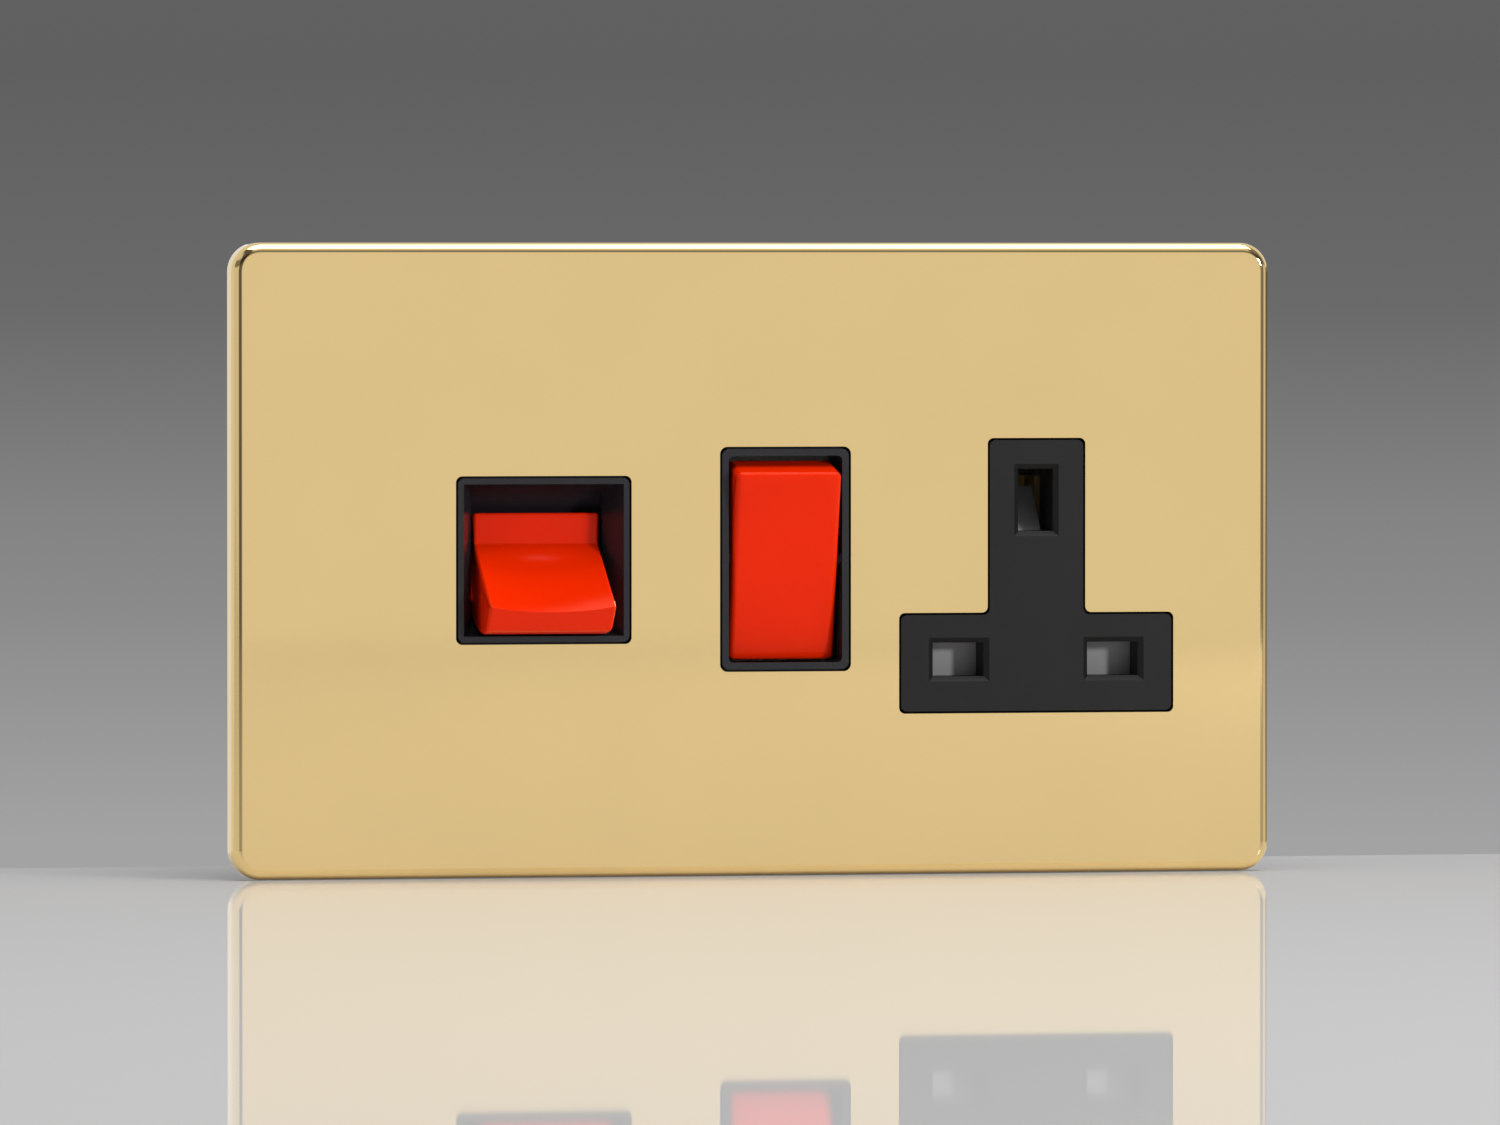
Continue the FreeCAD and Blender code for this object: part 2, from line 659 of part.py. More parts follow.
for name, sign in (("live", 1), ("neutral", -1)):
    x = cooker_x + sign * cooker_pole
    moving = contact_lever(x, cooker_pivot_y, cooker_tip, cooker_tilt, cooker_lever_tilt,
                           cooker_lever_reach, 1)[0]
    parts["cooker_contact_lever_" + name] = turned(moving, cooker_lever_pivot, 0,
                                                   cooker_lever_tilt)
    parts["cooker_plunger_" + name] = plunger(x, cooker_pivot_y, cooker_tip, -cooker_tilt)
    coil_length = cooker_tip - plunger_radius - stem_length - cooker_well_floor
    coil = spring(x, cooker_pivot_y + cooker_well_floor, 0, coil_length - 0.1, 0.85, 0.35, 4, "y")
    parts["cooker_plunger_spring_" + name] = turned(coil, cooker_pivot_y, 0, -cooker_tilt)
    parts["cooker_supply_terminal_" + name] = supply_terminal(sign)
    parts["cooker_load_terminal_" + name] = load_terminal(sign)
    parts["feed_bar_" + name] = feed_bar(sign)

parts["cooker_switch_bezel"] = cooker_bezel()
parts["cooker_rocker"] = cooker_rocker()
parts["cooker_switch_base"] = cooker_base()
clamp_screws = []
for sign in (-1, 1):
    for end in (-1, 1):
        clamp_screws.append(clamp_screw(cooker_x + sign * cooker_pole, end * terminal_z,
                                        cooker_floor, cooker_cable_radius, end,
                                        end * (cooker_half - wall + 0.4)))
parts["cooker_clamp_screws"] = Part.makeCompound(clamp_screws)


# Socket switch
switch_opening_half = switch_bezel_width / 2 - switch_bezel_land
switch_opening_height = switch_bezel_height / 2 - switch_bezel_land
switch_bezel_back = switch_pivot_y + 2.4
switch_floor_y = switch_pivot_y + 5.2
boss_half = 2.0


def switch_bezel():
    """Flush frame with a lightly drafted opening, a rear flange and the rocker's bearings."""
    body = rounded_block(switch_x, 0, switch_bezel_width, switch_bezel_height, face_y,
                         switch_bezel_back, switch_bezel_corner)
    flange = flange_block(switch_x, switch_bezel_width, switch_bezel_height, web_back,
                          flange_margin)
    mouth = outline_wire(switch_x, 0, 2 * switch_opening_half, 2 * switch_opening_height,
                         face_y - 0.01, 0.7)
    throat = outline_wire(switch_x, 0, 2 * switch_opening_half - 0.4,
                          2 * switch_opening_height - 0.1, switch_bezel_back + 0.01, 0.6)
    opening = Part.makeLoft([mouth, throat], True, True)
    bearing = rod(switch_pin_radius + 0.03, V(switch_x - 8.6, switch_pivot_y, 0), X_AXIS, 17.2)
    return body.fuse(flange).cut([opening, bearing]).removeSplitter()


def switch_rocker():
    """Flat paddle with rounded edges, a deep skirt, a pin bore and two plunger bosses."""
    x = switch_x
    front = switch_pivot_y - switch_face_height
    block = box(x - switch_rocker_width / 2, x + switch_rocker_width / 2, front,
                switch_pivot_y + 1.9, -switch_rocker_height / 2, switch_rocker_height / 2)
    edges = [e for e in block.Edges
             if abs(e.CenterOfMass.y - front) < 0.01 or abs(e.tangentAt(e.FirstParameter).y) > 0.99]
    block = block.makeFillet(switch_rocker_edge, edges)
    hollow = box(x - switch_rocker_width / 2 + 1.3, x + switch_rocker_width / 2 - 1.3,
                 front + 1.5, switch_pivot_y + 3, -switch_rocker_height / 2 + 1.3,
                 switch_rocker_height / 2 - 1.3)
    block = block.cut(hollow)
    bosses = []
    for sign in (-1, 1):
        pole = x + sign * socket_pole
        bosses.append(box(pole - boss_half, pole + boss_half, front + 1,
                          switch_pivot_y + socket_tip - plunger_radius - 1.6, -boss_half,
                          boss_half))
    hub = rod(switch_pin_radius + 1.1, V(x - switch_rocker_width / 2 + 1, switch_pivot_y, 0),
              X_AXIS, switch_rocker_width - 2)
    rib = box(x - 0.6, x + 0.6, front + 1, switch_pivot_y + 0.5, -switch_rocker_height / 2 + 1,
              switch_rocker_height / 2 - 1)
    bore = rod(switch_pin_radius + 0.03, V(x - 8, switch_pivot_y, 0), X_AXIS, 16)
    shape = block.fuse(bosses + [hub, rib]).cut(bore)
    wells = [plunger_well(x + sign * socket_pole, switch_pivot_y + socket_well_floor, 10)
             for sign in (-1, 1)]
    return turned(shape.cut(wells).removeSplitter(), switch_pivot_y, 0, switch_tilt)


# Socket front, shutter and contacts

shutter_front = flange_back + shutter_gap
shutter_back = shutter_front + shutter_thickness
ramp_low = earth_slot_z - earth_slot[1] / 2 + 0.15
ramp_high = ramp_low + shutter_travel
ramp_depth = 5.2


def drafted_slot(x, z, width, height):
    """Pin slot with a bevelled mouth."""
    straight = box(x - width / 2, x + width / 2, face_y - 1, flange_back + 1, z - height / 2,
                   z + height / 2)
    grow = 2 * slot_chamfer
    mouth = outline_wire(x, z, width + grow, height + grow, face_y, 0.15)
    throat = outline_wire(x, z, width - 0.02, height - 0.02, face_y + slot_chamfer, 0.1)
    return straight.fuse(Part.makeLoft([mouth, throat], True, True))


def socket_front():
    """T-shaped front of the socket with its flange and three bevelled pin slots."""
    shape = socket_outline(face_y, flange_back, 0)
    flange = socket_outline(web_back, flange_back, flange_margin - 0.1)
    shape = shape.fuse(flange).removeSplitter()
    slots = [drafted_slot(socket_x + sign * pin_pitch / 2, line_slot_z, *line_slot)
             for sign in (-1, 1)]
    slots.append(drafted_slot(socket_x, earth_slot_z, *earth_slot))
    return shape.cut(slots)


def shutter():
    """Sliding shutter: a bar over both line slots and a ramp behind the earth slot."""
    top = line_slot_z + line_slot[1] / 2 + 0.6
    bottom = top - shutter_travel
    reach = pin_pitch / 2 + line_slot[0] / 2 + 0.6
    bar = box(socket_x - reach, socket_x + reach, shutter_front, shutter_back, bottom, top)
    stem = box(socket_x - 1.9, socket_x + 1.9, shutter_front, shutter_back, bottom, ramp_low + 0.1)
    ramp = prism([(shutter_front, ramp_low), (shutter_front + ramp_depth, ramp_high),
                  (shutter_front + ramp_depth + 0.9, ramp_high - 0.9),
                  (shutter_back, ramp_low - 0.9)], socket_x - 1.9, socket_x + 1.9)
    foot = rod(0.9, V(socket_x, (shutter_front + shutter_back) / 2 + 1.7, bottom - 1.6), Z_AXIS,
               1.7)
    lug = box(socket_x - 1.9, socket_x + 1.9, shutter_front, shutter_back + 2.2, bottom,
              bottom + 1.2)
    return bar.fuse([stem, ramp, lug, foot]).removeSplitter()


def fork_contact(x, z, back_y, pin_half, width):
    """Sprung fork of two leaves that narrow to grip a flat pin and flare at the mouth."""
    leaf = 0.8
    throat = pin_half - 0.2
    mouth_y = shutter_front + ramp_depth + 2.0
    throat_y = mouth_y + 1.8
    leaves = []
    for sign in (-1, 1):
        leaves.append(prism([(mouth_y, sign * (throat + 1.0) + z), (throat_y, sign * throat + z),
                             (back_y - 0.9, sign * (throat + 1.4) + z),
                             (back_y - 0.9, sign * (throat + 1.4 + leaf) + z),
                             (throat_y, sign * (throat + leaf) + z),
                             (mouth_y, sign * (throat + 1.0 + leaf) + z)],
                            x - width / 2, x + width / 2))
    back = box(x - width / 2, x + width / 2, back_y - strip, back_y, z - throat - 1.4 - leaf,
               z + throat + 1.4 + leaf)
    return back.fuse(leaves).removeSplitter()


live_link_y = 18.4
neutral_link_y = 20.4


def pin_contact(sign):
    """Live or neutral fork with the strip that brings it the switched feed."""
    x = socket_x + sign * pin_pitch / 2
    back_y = live_link_y if sign > 0 else neutral_link_y
    pole_x = switch_x + sign * socket_pole
    fork = fork_contact(x, line_slot_z, back_y, 2.0, 6.0)
    upright = box(x - 2, x + 2, back_y - strip, back_y, line_slot_z, 24.0)
    run = box(pole_x - 2, x + 2, back_y - strip, back_y, 20.5, 24.0)
    drop = box(pole_x - 2, pole_x + 2, back_y - strip, back_y, 10.0, 24.0)
    tab = box(pole_x - 2, pole_x + 2, socket_contact_y, socket_contact_y + strip, 8.2, 14.0)
    riser = box(pole_x - 2, pole_x + 2, socket_contact_y, back_y, 13.0, 14.0)
    return fork.fuse([upright, run, drop, tab, riser]).removeSplitter()


def earth_contact():
    """Earth fork, its strap and the earth terminal block."""
    fork = fork_contact(0, 0, neutral_link_y, 2.0, 6.4)
    fork.rotate(V(0, 0, 0), Y_AXIS, 90)
    fork.translate(V(socket_x, 0, earth_slot_z))
    z = -socket_half + wall + terminal_height / 2 + 2.4
    strap = box(socket_x - 2.2, socket_x + 2.2, neutral_link_y - strip, neutral_link_y, z,
                earth_slot_z)
    block = clamp_block(socket_x, z, socket_floor, socket_cable_radius, -1)
    bore = rod(socket_cable_radius, V(socket_x, 8, z), Y_AXIS, 20)
    return block.fuse([fork, strap.cut(bore)]).cut(bore).removeSplitter(), z


earth_shape, earth_terminal_z = earth_contact()
cell_ribs = (24.0, 33.1, 47.5)
rib_half = 0.5
rib_front = shutter_back + 3.0


def shroud():
    """Shelf behind the socket rocker that closes the view round its edges."""
    outer = box(switch_x - 10.4, switch_x + 10.4, switch_floor_y, switch_floor_y + 1.0, -15.6, 15.6)
    inner = box(switch_x - 6.9, switch_x + 6.9, switch_floor_y - 1, switch_floor_y + 2, -9.5, 9.5)
    return outer.cut(inner)


def socket_base():
    """Rear moulding behind the socket switch and the socket, divided into cells."""
    left_wall = switch_x - 10.3
    right_wall = switch_x + 10.3
    cells = [(left_wall, switch_x - 0.6, web_back - 1), (switch_x + 0.6, right_wall, web_back - 1)]
    starts = [right_wall + 1.4] + [x + rib_half for x in cell_ribs]
    ends = [x - rib_half for x in cell_ribs] + [socket_base_right - wall]
    cells += [(a, b, rib_front) for a, b in zip(starts, ends)]
    cells.append((right_wall + 1.4, socket_base_right - wall, web_back - 1))
    base = hollow_base(socket_base_left, socket_base_right, socket_half, socket_back, cells[:6],
                       socket_floor)
    shallow = box(cells[6][0], cells[6][1], web_back - 1, rib_front + 0.1, -socket_half + wall,
                  socket_half - wall)
    flange = flange_block(switch_x, switch_bezel_width, switch_bezel_height, web_back - 1,
                          flange_margin + 0.1)
    body = box(switch_x - 9.3, switch_x + 9.3, web_back - 1, switch_floor_y, -15.6, 15.6)
    pad = box(fixing_spacing / 2 - pad_width / 2 - 0.2, socket_base_right + 1, web_back - 1, 0.1,
              -pad_half - 0.2, pad_half + 0.2)
    relief = box(socket_base_right - stud_relief, socket_base_right + 1, web_back - 1,
                 socket_back + 1, -3.6, 3.6)
    cuts = [shallow, flange, body, pad, relief,
            socket_outline(web_back - 1, flange_back, flange_margin)]
    link = 0.3
    for sign, y in ((1, live_link_y), (-1, neutral_link_y)):
        pole_x = switch_x + sign * socket_pole
        x = socket_x + sign * pin_pitch / 2
        cuts.append(box(pole_x - 2.3, x + 2.3, y - strip - link, y + link, 20.2, 24.3))
        cuts.append(feed_bar_channel(sign))
    cuts += entry_windows(socket_x, socket_floor, earth_terminal_z, socket_cable_radius,
                          -socket_half)
    cuts.append(rod(0.95, V(socket_x, shutter_spring_y, -socket_half + wall + 0.1), Z_AXIS * -1,
                    0.5))
    fills = [lug for x in (switch_x, socket_x) for lug in lugs(x, socket_half)]
    fills.append(shroud())
    for sign in (-1, 1):
        x = switch_x + sign * socket_pole
        fills.append(box(x - 2, x + 2, socket_strip_y + strip, socket_floor + 0.1, -2, 2))
        y = live_link_y if sign > 0 else neutral_link_y
        x = socket_x + sign * pin_pitch / 2
        fills.append(box(x - 2, x + 2, y, socket_floor + 0.1, line_slot_z - 2, line_slot_z + 2))
    fills.append(box(socket_x - 2, socket_x + 2, neutral_link_y, socket_floor + 0.1,
                     earth_slot_z - 2, earth_slot_z + 2))
    return base.cut(cuts).fuse(fills).removeSplitter()


def switch_feed_terminal(sign):
    """Posts of one socket-switch pole, standing on the feed bar."""
    x = switch_x + sign * socket_pole
    foot = live_bar_z if sign > 0 else neutral_bar_z
    return pivot_terminal(x, socket_lever_pivot, socket_strip_y, foot)


shutter_spring_y = (shutter_front + shutter_back) / 2 + 1.7
shutter_bar_bottom = line_slot_z + line_slot[1] / 2 + 0.6 - shutter_travel

parts["socket_switch_bezel"] = switch_bezel()
parts["socket_rocker"] = switch_rocker()
parts["socket_rocker_pin"] = rod(switch_pin_radius, V(switch_x - 8.5, switch_pivot_y, 0), X_AXIS,
                                 17.0)
parts["socket_front"] = socket_front()
parts["shutter"] = shutter()
spring_foot = -socket_half + wall
parts["shutter_spring"] = spring(socket_x, shutter_spring_y, spring_foot + 0.05,
                                 shutter_bar_bottom - spring_foot - 0.15, 1.3, 0.4, 6, "z")
parts["live_contact"] = pin_contact(1)
parts["neutral_contact"] = pin_contact(-1)
parts["earth_contact"] = earth_shape
parts["earth_clamp_screw"] = clamp_screw(socket_x, earth_terminal_z, socket_floor,
                                         socket_cable_radius, -1, -socket_half + wall - 0.4)
parts["socket_base"] = socket_base()
for name, sign in (("live", 1), ("neutral", -1)):
    x = switch_x + sign * socket_pole
    moving = contact_lever(x, switch_pivot_y, socket_tip, switch_tilt, switch_lever_tilt,
                           socket_lever_reach, 1)[0]
    parts["socket_contact_lever_" + name] = turned(moving, socket_lever_pivot, 0,
                                                   -switch_lever_tilt)
    parts["socket_plunger_" + name] = plunger(x, switch_pivot_y, socket_tip, switch_tilt)
    coil_length = socket_tip - plunger_radius - stem_length - socket_well_floor
    coil = spring(x, switch_pivot_y + socket_well_floor, 0, coil_length - 0.1, 0.85, 0.3, 2, "y")
    parts["socket_plunger_spring_" + name] = turned(coil, switch_pivot_y, 0, switch_tilt)
    parts["socket_switch_terminal_" + name] = switch_feed_terminal(sign)
parts["base_screws"] = Part.makeCompound(lug_screws(base_places))

os.makedirs("parts", exist_ok=True)
for node, shape in parts.items():
    shape.exportStep("parts/" + node + ".step")
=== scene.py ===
import json
import math

import bpy
import numpy as np
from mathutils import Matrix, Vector


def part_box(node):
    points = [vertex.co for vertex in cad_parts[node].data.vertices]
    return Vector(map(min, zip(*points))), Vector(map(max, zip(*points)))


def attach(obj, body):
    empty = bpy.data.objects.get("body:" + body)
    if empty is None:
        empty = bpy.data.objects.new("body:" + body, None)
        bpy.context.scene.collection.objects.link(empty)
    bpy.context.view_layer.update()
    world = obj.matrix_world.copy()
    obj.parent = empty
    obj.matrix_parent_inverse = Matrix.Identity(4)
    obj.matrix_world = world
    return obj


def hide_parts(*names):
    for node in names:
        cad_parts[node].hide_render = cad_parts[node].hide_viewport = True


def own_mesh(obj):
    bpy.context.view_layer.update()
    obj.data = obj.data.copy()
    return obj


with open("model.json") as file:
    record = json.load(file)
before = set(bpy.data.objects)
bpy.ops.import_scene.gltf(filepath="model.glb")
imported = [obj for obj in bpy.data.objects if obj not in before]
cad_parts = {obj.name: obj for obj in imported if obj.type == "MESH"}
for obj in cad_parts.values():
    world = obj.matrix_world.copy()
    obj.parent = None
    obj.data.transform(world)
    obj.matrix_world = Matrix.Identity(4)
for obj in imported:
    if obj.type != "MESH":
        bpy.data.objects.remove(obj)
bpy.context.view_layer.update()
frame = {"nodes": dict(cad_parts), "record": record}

MM = 0.001

# Cooker rocker, measured from its axis in its rest place (y, z), in metres
COOKER_X = -30.1 * MM
COOKER_AXIS_Y = -4.4 * MM
ROCKER_HALF = 17.9 / 2 * MM
TOP_EDGE = (5.5 * MM, 6.5 * MM)
CREASE = (5.7 * MM, 2.2 * MM)
LIP_EDGE = (-6.2 * MM, -6.3 * MM)
LIP_CORNER = (-3.4 * MM, -9.65 * MM)
SCOOP_DISH = 1.0 * MM
SIDE_ROUND = 0.55 * MM
KEY_INNER = 7.6 * MM
KEY_OUTER = 8.6 * MM
KEY_REACH = 0.9 * MM
KEY_ROOT = 0.2 * MM
KEY_SPREAD = 18.0
COOKER_TILT = 26.0
ROCKER_SOFTNESS = 0.3 * MM
KEY_SOFTNESS = 0.06 * MM

# Share of the finger face, from the crease, over which its hollow deepens
SCOOP_RUN = 0.3

# Socket rocker, in its level place, turned to rest afterwards
SWITCH_X = 4.3 * MM
SWITCH_AXIS_Y = 1.0 * MM
PADDLE_HALF_WIDTH = 7.5 * MM
PADDLE_HALF_HEIGHT = 13.35 * MM
PADDLE_FACE = 5.05 * MM
PADDLE_BACK = 1.9 * MM
PADDLE_DRAFT = 0.35 * MM
PADDLE_ROUND = 0.9 * MM
SOCKET_TILT = 12.0
PADDLE_SOFTNESS = 0.42 * MM

# Steps of the meshes along outlines, round sides and across widths
DRUM_STEPS = 90
ROCKER_OUTLINE_STEPS = 420
ROCKER_ACROSS_STEPS = 40
PADDLE_OUTLINE_STEPS = 480
PADDLE_ACROSS_STEPS = 24
SIDE_ROUND_STEPS = 9
KEY_OUTLINE_STEPS = 60
KEY_TURN_STEPS = 13

# Shutter spring, a round coil with the turns of the solid's
COIL_TURNS = 6
COIL_WIRE_RADIUS = 0.2 * MM
COIL_STEPS = 20
COIL_SIDES = 10

# Plate's face and lower edge
PLATE_FACE_Y = -4.0 * MM
FLOOR_Z = -44.0 * MM


# Surfaces


def arc_points(centre, start, end, count):
    """Points on a circle from one point to another, the short way round."""
    a = math.atan2(start[1] - centre[1], start[0] - centre[0])
    b = math.atan2(end[1] - centre[1], end[0] - centre[0])
    turn = (b - a + math.pi) % (2 * math.pi) - math.pi
    radius = math.hypot(start[0] - centre[0], start[1] - centre[1])
    angles = a + turn * np.linspace(0, 1, count)
    return np.column_stack([centre[0] + radius * np.cos(angles),
                            centre[1] + radius * np.sin(angles)])


def even_loop(points, count):
    """The closed outline resampled at equal steps of its length."""
    closed = np.vstack([points, points[:1]])
    steps = np.hypot(*np.diff(closed, axis=0).T)
    length = np.concatenate([[0], np.cumsum(steps)])
    at = np.linspace(0, length[-1], count, endpoint=False)
    return np.column_stack([np.interp(at, length, closed[:, k]) for k in (0, 1)])


def softened(points, radius):
    """A closed outline whose corners are rounded by a Gaussian mean along its length."""
    count = len(points)
    step = np.hypot(*np.diff(points[:2], axis=0)[0])
    offset = np.minimum(np.arange(count), count - np.arange(count)) * step
    weight = np.exp(-0.5 * (offset / radius) ** 2)
    weight /= weight.sum()
    spectrum = np.fft.fft(weight)
    return np.column_stack([np.fft.ifft(np.fft.fft(points[:, k]) * spectrum).real
                            for k in (0, 1)])


def inset_loop(points, depth):
    """A closed outline moved inwards along its own normals by a depth."""
    along = np.roll(points, -1, axis=0) - np.roll(points, 1, axis=0)
    along /= np.hypot(*along.T)[:, None]
    normal = np.column_stack([-along[:, 1], along[:, 0]])
    area = np.sum(points[:, 0] * np.roll(points[:, 1], -1)
                  - points[:, 1] * np.roll(points[:, 0], -1))
    return points + normal * depth * np.sign(area)


def mesh_from_rings(name, rings):
    """A closed skin through equal rings of points, capped at both ends by a fan."""
    count, around = rings.shape[:2]
    ends = [rings[0].mean(axis=0), rings[-1].mean(axis=0)]
    points = np.vstack([rings.reshape(-1, 3), ends])
    i, j = np.meshgrid(np.arange(count - 1), np.arange(around), indexing="ij")
    k = (j + 1) % around
    quads = np.stack([i * around + j, i * around + k, (i + 1) * around + k,
                      (i + 1) * around + j], axis=-1).reshape(-1, 4)
    j = np.arange(around)
    k = (j + 1) % around
    first = np.column_stack([np.full(around, count * around), k, j])
    base = (count - 1) * around
    last = np.column_stack([np.full(around, count * around + 1), base + j, base + k])
    mesh = bpy.data.meshes.new(name)
    mesh.from_pydata(points.tolist(), [], quads.tolist() + first.tolist() + last.tolist())
    mesh.validate()
    if volume_sign(mesh) < 0:
        mesh.flip_normals()
    mesh.shade_smooth()
    piece = bpy.data.objects.new(name, mesh)
    bpy.context.scene.collection.objects.link(piece)
    return piece


def volume_sign(mesh):
    """Six times the volume that the faces enclose; negative where they point inwards."""
    mesh.calc_loop_triangles()
    corners = np.empty(len(mesh.vertices) * 3)
    mesh.vertices.foreach_get("co", corners)
    corners = corners.reshape(-1, 3)
    index = np.empty(len(mesh.loop_triangles) * 3, dtype=int)
    mesh.loop_triangles.foreach_get("vertices", index)
    a, b, c = (corners[index.reshape(-1, 3)[:, n]] for n in range(3))
    return float(np.sum(np.cross(a, b) * c))


def side_stations(half, radius, across):
    """Places across a piece with closer steps at its rounded sides, and the inset at each."""
    turn = np.linspace(0, math.pi / 2, SIDE_ROUND_STEPS)
    left = -half + radius * (1 - np.cos(turn))
    middle = np.linspace(-half + radius, half - radius, across)[1:-1]
    places = np.concatenate([left, middle, -left[::-1]])
    inset = np.concatenate([radius * (1 - np.sin(turn)), np.zeros(len(middle)),
                            radius * (1 - np.sin(turn[::-1]))])
    return places, inset


def dished(ring, place):
    """The finger face below the crease, hollowed more towards the middle of the width."""
    crease = np.array(CREASE)
    along = np.array(LIP_EDGE) - crease
    length = math.hypot(*along)
    along /= length
    outward = np.array([along[1], -along[0]])
    offset = ring - crease
    share = np.clip(offset @ along / length / SCOOP_RUN, 0, 1)
    push = SCOOP_DISH * (1 - (place / ROCKER_HALF) ** 2) * share ** 2 * (3 - 2 * share)
    over = np.where(offset @ along > 0, np.maximum(offset @ outward + push, 0), 0)
    return ring - over[:, None] * outward


def cooker_rocker_rings():
    """Rocker outline (top panel, finger face, lip, drum arc) at each place across its width."""
    corner_radius = math.hypot(*LIP_CORNER)
    back = (math.sqrt(corner_radius ** 2 - TOP_EDGE[1] ** 2), TOP_EDGE[1])
    drum = arc_points((0.0, 0.0), LIP_CORNER, back, DRUM_STEPS)
    corners = np.vstack([[TOP_EDGE, CREASE, LIP_EDGE], drum])
    outline = softened(even_loop(corners, ROCKER_OUTLINE_STEPS), ROCKER_SOFTNESS)
    places, inset = side_stations(ROCKER_HALF, SIDE_ROUND, ROCKER_ACROSS_STEPS)
    rings = []
    for place, depth in zip(places, inset):
        ring = dished(inset_loop(outline, depth), place)
        x = np.full(len(ring), COOKER_X + place)
        rings.append(np.column_stack([x, COOKER_AXIS_Y + ring[:, 0], ring[:, 1]]))
    return np.array(rings)


def key_rings(sign):
    """A curved side key on the drum: a small rectangle in X and radius, carried round the axis."""
    x0, x1 = (COOKER_X + sign * (ROCKER_HALF + step) for step in (-KEY_ROOT, KEY_REACH))
    corners = np.array([[x0, KEY_INNER], [x1, KEY_INNER], [x1, KEY_OUTER], [x0, KEY_OUTER]])
    outline = softened(even_loop(corners, KEY_OUTLINE_STEPS), KEY_SOFTNESS)
    turns = np.linspace(-KEY_SPREAD, KEY_SPREAD, KEY_TURN_STEPS) - COOKER_TILT
    rings = []
    for angle in np.radians(turns):
        y = COOKER_AXIS_Y + outline[:, 1] * math.cos(angle)
        rings.append(np.column_stack([outline[:, 0], y, outline[:, 1] * math.sin(angle)]))
    return np.array(rings)


def paddle_rings():
    """Flat paddle: a rectangle in Y and Z, rounded all round, turned to its rest place."""
    y0, y1 = -PADDLE_FACE, PADDLE_BACK
    z0 = PADDLE_HALF_HEIGHT
    z1 = z0 + PADDLE_DRAFT
    corners = np.array([[y0, -z0], [y0, z0], [y1, z1], [y1, -z1]])
    outline = softened(even_loop(corners, PADDLE_OUTLINE_STEPS), PADDLE_SOFTNESS)
    places, inset = side_stations(PADDLE_HALF_WIDTH, PADDLE_ROUND, PADDLE_ACROSS_STEPS)
    lean = math.radians(SOCKET_TILT)
    rings = []
    for place, depth in zip(places, inset):
        ring = inset_loop(outline, depth)
        y = ring[:, 0] * math.cos(lean) - ring[:, 1] * math.sin(lean)
        z = ring[:, 0] * math.sin(lean) + ring[:, 1] * math.cos(lean)
        x = np.full(len(ring), SWITCH_X + place)
        rings.append(np.column_stack([x, SWITCH_AXIS_Y + y, z]))
    return np.array(rings)


# Materials


# Grain is noise that varies a finish; relief is finer noise that lifts it
GRAIN_DETAIL = 4
GRAIN_RAMP = (0.3, 0.7)
RELIEF_DETAIL = 3
RELIEF_STRENGTH = 0.4

# The finish of each record slot; relief is its noise scale and its height in metres
FINISHES = {
    "polished_brass": dict(
        name="polished_brass", colour=(0.765, 0.566, 0.262), metallic=1.0, roughness=0.04,
        scale=60, spread=0.01, rough=(0.03, 0.05)),
    "red_gloss": dict(
        name="red_gloss_plastic", colour=(0.72, 0.0185, 0.0), roughness=0.13, specular=0.09,
        scale=90, spread=0.03, rough=(0.11, 0.16), relief=(700, 1e-5)),
    "black_gloss": dict(
        name="black_gloss_plastic", colour=(0.014, 0.014, 0.017), roughness=0.25, specular=0.24,
        scale=120, spread=0.06, rough=(0.22, 0.3), relief=(900, 8e-6)),
    "black_satin": dict(
        name="black_satin_plastic", colour=(0.009, 0.009, 0.009), roughness=0.38, specular=0.16,
        scale=150, spread=0.06, rough=(0.38, 0.46), relief=(2200, 2e-5)),
    "black_moulding": dict(
        name="black_moulding", colour=(0.03, 0.03, 0.033), roughness=0.5,
        scale=100, spread=0.08, rough=(0.45, 0.55), relief=(1500, 2e-5)),
    "white_moulding": dict(
        name="white_moulding", colour=(0.68, 0.67, 0.63), roughness=0.38,
        scale=80, spread=0.02, rough=(0.34, 0.44), relief=(1200, 1e-5)),
    "grey_moulding": dict(
        name="grey_shutter_plastic", colour=(0.22, 0.22, 0.22), roughness=0.42,
        scale=120, spread=0.04, rough=(0.38, 0.48), relief=(1500, 1e-5)),
    "nylon": dict(
        name="nylon", colour=(0.78, 0.76, 0.68), roughness=0.35,
        scale=200, spread=0.03, rough=(0.3, 0.42)),
    "zinc_steel": dict(
        name="zinc_plated_steel", colour=(0.6, 0.61, 0.63), metallic=1.0, roughness=0.3,
        scale=300, spread=0.06, rough=(0.25, 0.4), relief=(900, 1e-5)),
    "spring_steel": dict(
        name="spring_steel", colour=(0.5, 0.5, 0.52), metallic=1.0, roughness=0.28,
        scale=400, spread=0.05, rough=(0.22, 0.34)),
    "copper_strip": dict(
        name="pressed_copper", colour=(0.72, 0.4, 0.26), metallic=1.0, roughness=0.32,
        scale=250, spread=0.07, rough=(0.26, 0.4), relief=(800, 1e-5), stretch=(1, 1, 6)),
    "contact_brass": dict(
        name="contact_brass", colour=(0.7, 0.52, 0.25), metallic=1.0, roughness=0.3,
        scale=250, spread=0.07, rough=(0.24, 0.38), relief=(800, 1e-5), stretch=(6, 1, 1)),
}


